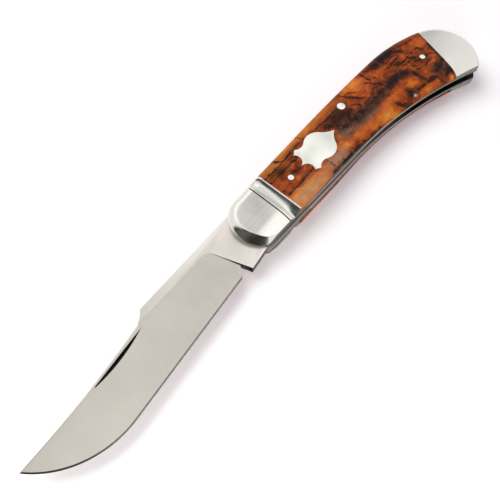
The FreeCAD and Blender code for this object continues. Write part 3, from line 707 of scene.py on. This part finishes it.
pileBark = {
    "veins": [
        (2.0, 0.9, [(38, 4.6), (42, 4), (46, 3.4), (50, 3)]), (2.6, 0.8, [(66, 5), (69, 6.2), (72, 7), (74, 7.6)]),
    ],
    "cracks": [
        (1.0, 1.0, [(13, 5), (15, 4), (22, 4.3), (30, 4.5), (38, 4.5), (45, 3.6), (52, 3), (60, 2.8), (66, 2.6),
                    (71, 3), (78, 2), (85, 1.5)]), (0.5, 0.85, [(74, 5), (80, 5.1), (85, 5.2)]),
        (0.7, 0.9, [(16, 10.5), (16.3, 7), (15.6, 4)]), (0.7, 0.9, [(15.8, 2), (16.4, -3), (16, -7)]),
        (0.6, 0.85, [(25, -2), (25.3, -5.5)]), (0.7, 0.9, [(28.4, 11), (28.8, 6)]),
        (0.6, 0.85, [(30, 4), (30.3, -3)]), (0.5, 0.8, [(33.4, 4), (33.6, 0)]), (0.7, 0.9, [(38, 2), (38.4, -4)]),
        (0.8, 0.95, [(40.8, -2), (41.2, -7)]), (0.6, 0.8, [(42, 12), (42.3, 8)]),
        (0.6, 0.85, [(45, 3), (45.2, -3)]), (0.7, 0.9, [(50.3, 3), (50.8, -3.4)]),
        (0.6, 0.9, [(55, 9), (55.3, 3), (55, -2)]), (0.7, 0.9, [(59.3, 9.5), (59.6, 3), (59.4, -2)]),
        (0.7, 0.9, [(64, 12), (64.3, 6)]), (0.6, 0.9, [(65, 2), (65.2, -4)]), (0.7, 0.9, [(70.4, 3), (70.8, -3)]),
        (0.6, 0.85, [(75, 7), (75.2, 2)]), (0.6, 0.9, [(49, -3.4), (56, -3.6), (64, -3.4), (72, -3.5)]),
        (0.8, 0.9, [(26, -6), (31, -6.1)]), (0.5, 0.8, [(8.5, 0.3), (12, 0)]),
        (0.5, 0.8, [(9, -1.5), (14, -1.4), (20, -1.3)]), (0.8, 0.9, [(78.5, -8.5), (78.7, -13)]),
        (0.6, 0.85, [(22, 10.5), (22.2, 5)]), (0.6, 0.8, [(35, 11.5), (35.3, 7)]),
        (0.6, 0.85, [(48.5, 12), (48.8, 6)]), (0.5, 0.8, [(12, 7.6), (20, 7.2), (27, 7.8)]),
        (0.5, 0.8, [(33, 7.2), (44, 7.6), (54, 7)]), (0.5, 0.8, [(56, 6.2), (63, 6)]),
    ],
    "tone": [(17, -5.5, 8, 2.2, 0.36), (81, 7, 6, 2, 0.34), (45, 9.5, 12, 1.8, 0.12), (30, 0, 10, 2.5, 0.06)],
    "grey": [(69, 6.5, 4, 2, 0.4)],
    "red": [(58, 0, 8, 2.5, 0.35), (25, 2, 6, 2, 0.3)],
    "gold": [(17, -5.5, 8, 2.2, 0.4), (81, 7, 6, 2, 0.4)],
    "fleck": [],
}
coverSkin = {
    "pitch": 0.5, "skinUp": 0.05, "topUp": 0.3, "baseTone": 0.37, "wallShade": -0.2, "wallShadeFrom": 1.2,
    "wander": 0.35, "wanderCoarse": 0.5, "wanderFine": 1.5, "fineShare": 0.5, "noiseSide": 5, "noiseApart": 20,
    "crackThin": 0.85, "strokeTop": 1.15, "strokeFade": 0.5, "blueGain": 1.5, "blueFrom": 0.4,
    "nearFade": 0.25, "nearGain": 0.9, "nearBase": 0.08,
}


# how near each point lies to a run of strokes: full on a stroke's middle, 0 well outside it
def strokeWeight(x, y, strokes, fade):
    weight = np.zeros_like(x)
    for width, depth, points in strokes:
        near = np.full_like(x, np.inf)
        for (ax, ay), (bx, by) in zip(points, points[1:]):
            dx, dy = bx - ax, by - ay
            t = np.clip(((x - ax) * dx + (y - ay) * dy) / (dx * dx + dy * dy), 0, 1)
            near = np.minimum(near, np.hypot(x - ax - t * dx, y - ay - t * dy))
        weight = np.maximum(weight, depth * np.clip(coverSkin["strokeTop"] - fade * near / (width / 2), 0, 1))
    return weight


def patchWeight(x, y, patches):
    weight = np.zeros_like(x)
    for px, py, along, across, change in patches:
        weight += change * np.exp(-((x - px) / along) ** 2 - ((y - py) / across) ** 2)
    return weight


# a small wander, so that drawn lines aren't smooth
def wanderAt(at):
    coarse, fine = noise.noise(at * coverSkin["wanderCoarse"]), noise.noise(at * coverSkin["wanderFine"])
    return coverSkin["wander"] * (coarse + coverSkin["fineShare"] * fine)


def makeCover(name, node, side, looks):
    bm = mergedCopy(node)
    squareUp(bm, coverSkin["pitch"], side, coverSkin["skinUp"])
    cutLargeFaces(bm)
    skin = {e for f in bm.faces if f.normal.z * side > coverSkin["topUp"] for e in f.edges}
    bmesh.ops.subdivide_edges(bm, edges=list(skin), cuts=1, use_grid_fill=True)
    cutLargeFaces(bm)
    buffBevel(bm, side)
    mesh = finishPiece(bm, name, node, "handle", [barkSkin]).data
    x, y, shadedWall = [], [], []
    for vert in mesh.vertices:
        # the cover's side walls are painted darker, as shade
        shadedWall.append(min(1.0, max(0.0, abs(vert.co.z / mm - bevel["top"][side]) - coverSkin["wallShadeFrom"])))
        at = Vector((vert.co.x / mm, vert.co.y / mm, side * coverSkin["noiseSide"]))
        x.append(at.x + wanderAt(at))
        at.z += coverSkin["noiseApart"]
        y.append(at.y + wanderAt(at))
    x, y = np.array(x), np.array(y)
    thin = [(width * coverSkin["crackThin"], depth, points) for width, depth, points in looks["cracks"]]
    veins = strokeWeight(x, y, looks["veins"], coverSkin["strokeFade"])
    around = strokeWeight(x, y, looks["veins"], coverSkin["nearFade"])
    marks = {key: patchWeight(x, y, looks[key]) for key in ("tone", "grey", "red", "gold", "fleck")}
    marks["tone"] = coverSkin["baseTone"] + marks["tone"] + coverSkin["wallShade"] * np.array(shadedWall)
    marks["crack"] = np.maximum(veins, strokeWeight(x, y, thin, coverSkin["strokeFade"]))
    marks["blue"] = np.clip(veins * coverSkin["blueGain"] - coverSkin["blueFrom"], 0, 1)
    marks["near"] = around * coverSkin["nearGain"] + coverSkin["nearBase"]
    for key, values in marks.items():
        mesh.attributes.new(key, "FLOAT", "POINT").data.foreach_set("value", values.astype(np.float32))
    print(name, len(mesh.polygons), "faces")


makeCover("bark_cover_mark_side", "cover_mark_side", 1, markBark)
makeCover("bark_cover_pile_side", "cover_pile_side", -1, pileBark)
print("covers made")

# hidden CAD nodes keep their shape and get the metal they are made of
hiddenMetal = {
    "pivot_pin": bolsterMetal, "rear_spring_pin": bolsterMetal, "shield_pins": pinMetal, "pivot_bushing": springSteel,
}
for name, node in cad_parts.items():
    metal = pinMetal if "rivets" in name else hiddenMetal.get(name)
    if metal:
        node.data.materials.clear()
        node.data.materials.append(metal)

# Camera, fitted to the photograph's view
view = {
    "azimuth": -48.81, "elevation": 62.783, "roll": 0.35, "distance": 170.2,
    "target": (-9.694, -3.123, 5.0), "focalPixels": 600.4, "imageWidth": 500, "sensorWidth": 36.0, "clipStart": 0.01,
}


def makeCamera():
    a, e, r = (math.radians(view[key]) for key in ("azimuth", "elevation", "roll"))
    back = Vector((math.sin(a) * math.cos(e), -math.cos(a) * math.cos(e), math.sin(e)))
    right = Vector((math.cos(a), math.sin(a), 0))
    up = back.cross(right)
    across = right * math.cos(r) + up * math.sin(r)
    upright = back.cross(across)
    lens = bpy.data.cameras.new("camera")
    lens.sensor_width = view["sensorWidth"]
    lens.lens = view["sensorWidth"] * view["focalPixels"] / view["imageWidth"]
    lens.clip_start = view["clipStart"]
    camera = bpy.data.objects.new("camera", lens)
    bpy.context.scene.collection.objects.link(camera)
    turned = Matrix((across, upright, back)).transposed().to_4x4()
    camera.matrix_world = Matrix.Translation((Vector(view["target"]) + back * view["distance"]) * mm) @ turned
    bpy.context.scene.camera = camera


makeCamera()

# Floor and world: a white tent with its open side towards the camera
studio = {
    "worldStrength": 0.33, "floorTint": "614050", "floorLit": "f7fbf9", "floorFar": "ffffff",
    "farFrom": 0.13, "farTo": 0.45, "floorHalf": 3.0, "floorDrop": 0.00002,
}


# 1 on the camera's rays and on those that a shine or a clear body passes on, 0 on the rays that only give light
def shownRays(tree, path):
    seen = addNode(tree, "ShaderNodeMath", {
        0: path.outputs["Is Camera Ray"], 1: path.outputs["Is Glossy Ray"]}, operation="MAXIMUM")
    shown = addNode(tree, "ShaderNodeMath", {
        0: seen.outputs[0], 1: path.outputs["Is Transmission Ray"]}, operation="MAXIMUM")
    return shown.outputs[0]


def makeWorld():
    world = bpy.data.worlds.new("tent")
    bpy.context.scene.world = world
    world.use_nodes = True
    tree = world.node_tree
    tree.nodes.clear()
    shown = shownRays(tree, addNode(tree, "ShaderNodeLightPath"))
    level = addNode(tree, "ShaderNodeMapRange", {"Value": shown, "To Min": studio["worldStrength"], "To Max": 1.0})
    sky = addNode(tree, "ShaderNodeBackground", {"Color": (1, 1, 1, 1), "Strength": level.outputs[0]})
    addNode(tree, "ShaderNodeOutputWorld", {"Surface": sky.outputs[0]})


# a flat square sheet, half its width given
def makeSheet(name, half, material):
    bm = bmesh.new()
    bmesh.ops.create_grid(bm, x_segments=1, y_segments=1, size=half)
    mesh = bpy.data.meshes.new(name)
    bm.to_mesh(mesh)
    bm.free()
    mesh.materials.append(material)
    sheet = bpy.data.objects.new(name, mesh)
    bpy.context.scene.collection.objects.link(sheet)
    return sheet


# white paper that also glows faintly where it is seen, and fully white far from the knife
def makeFloor():
    material, tree = newMaterial("paperSweep")
    path = addNode(tree, "ShaderNodeLightPath")
    paper = addNode(tree, "ShaderNodeBsdfDiffuse", {"Color": linear(studio["floorLit"])})
    place = addNode(tree, "ShaderNodeTexCoord")
    away = addNode(tree, "ShaderNodeVectorMath", {0: place.outputs["Object"]}, operation="LENGTH")
    far = addNode(tree, "ShaderNodeMapRange", {
        "Value": away.outputs["Value"], "From Min": studio["farFrom"], "From Max": studio["farTo"]})
    bare = addNode(tree, "ShaderNodeMath", {
        0: far.outputs[0], 1: path.outputs["Is Camera Ray"]}, operation="MULTIPLY")
    tint = addNode(tree, "ShaderNodeMix", {
        mixShare: bare.outputs[0], mixFirst: linear(studio["floorTint"]), mixSecond: linear(studio["floorFar"])},
        data_type="RGBA")
    glow = addNode(tree, "ShaderNodeEmission", {"Color": tint.outputs[mixResult], "Strength": shownRays(tree, path)})
    both = addNode(tree, "ShaderNodeAddShader", {0: paper.outputs[0], 1: glow.outputs[0]})
    addNode(tree, "ShaderNodeOutputMaterial", {"Surface": both.outputs[0]})
    floor = makeSheet("floor", studio["floorHalf"], material)
    floor.location.z = -studio["floorDrop"]


# lamps light the scene and the metal's shine doesn't see them
lamps = {
    "keyLamp": {"power": 4.05, "size": 0.66, "place": (-0.05, 0.385, 0.55)},
    "fillLamp": {"power": 0.3, "size": 0.6, "place": (-0.3, -0.3, 0.6)},
    "lowLamp": {"power": 0.28, "size": 0.12, "place": (-0.15, -0.15, 0.08)},
}


def makeLamp(name, power, size, place):
    lamp = bpy.data.lights.new(name, "AREA")
    lamp.shape = "DISK"
    lamp.size = size
    lamp.energy = power
    lampObject = bpy.data.objects.new(name, lamp)
    lampObject.location = place
    lampObject.rotation_euler = Vector(place).to_track_quat("Z", "Y").to_euler()
    bpy.context.scene.collection.objects.link(lampObject)
    lampObject.visible_glossy = False


# cards stand out of sight, and only the metal's shine sees them
cards = {
    "darkCove": {"place": (-0.686, 0.313, 0.656), "width": 0.40, "height": 1.1, "strength": 0.02},
    "darkSide": {"place": (-0.83, 0.04, 0.60), "width": 0.40, "height": 1.30, "strength": 0.12},
    "darkNear": {"place": (-0.74, -0.558, 0.47), "width": 1.22, "height": 1.12, "strength": 0.02},
    # the two table cards lie on the floor beside the belly as painted shadow, so that the metal's shine sees a darker
    # floor there
    "tableShadowCard": {
        "place": (-0.004, -0.019, 0.0003), "width": 0.038, "height": 0.024, "strength": 0.2, "facing": (0, 0, 1)},
    "tableDimShadowCard": {
        "place": (0.065, -0.03, 0.0003), "width": 0.1, "height": 0.034, "strength": 0.3, "facing": (0, 0, 1)},
    "greyOver": {"place": (0.066, 0.06, 0.15), "width": 0.024, "height": 0.07, "strength": 0.45},
    "brightCove": {
        "place": (0.106, 0.078, 0.2), "width": 0.028, "height": 0.07, "strength": 1.3, "facing": (0, 0, 1)},
    "greyGrind": {"place": (0.075, 0.04, 0.38), "width": 0.09, "height": 0.09, "strength": 0.6},
    "greyRear": {"place": (0.246, 0.088, 0.15), "width": 0.06, "height": 0.06, "strength": 0.4},
    "brightOver": {"place": (0.15, -0.06, 0.45), "width": 0.34, "height": 0.22, "strength": 1.4},
    "brightTip": {"place": (-0.16, 0.06, 0.49), "width": 0.2, "height": 0.2, "strength": 1.35},
    "brightSpine": {"place": (0.32, 0.56, 0.77), "width": 0.5, "height": 0.5, "strength": 1.35},
}


def makeCard(name, place, width, height, strength, facing=None):
    material, tree = newMaterial(name)
    glow = addNode(tree, "ShaderNodeEmission", {"Color": (1, 1, 1, 1), "Strength": strength})
    addNode(tree, "ShaderNodeOutputMaterial", {"Surface": glow.outputs[0]})
    card = makeSheet(name, 0.5, material)
    card.location = place
    card.rotation_euler = Vector(facing or place).to_track_quat("Z", "Y").to_euler()
    card.scale = (width, height, 1)
    card.visible_camera = card.visible_diffuse = card.visible_shadow = card.visible_transmission = False


for name, settings in cards.items():
    makeCard(name, **settings)
makeWorld()
makeFloor()
for name, settings in lamps.items():
    makeLamp(name, **settings)
bpy.context.scene.view_settings.view_transform = "Standard"
print("camera, floor and lamps set")
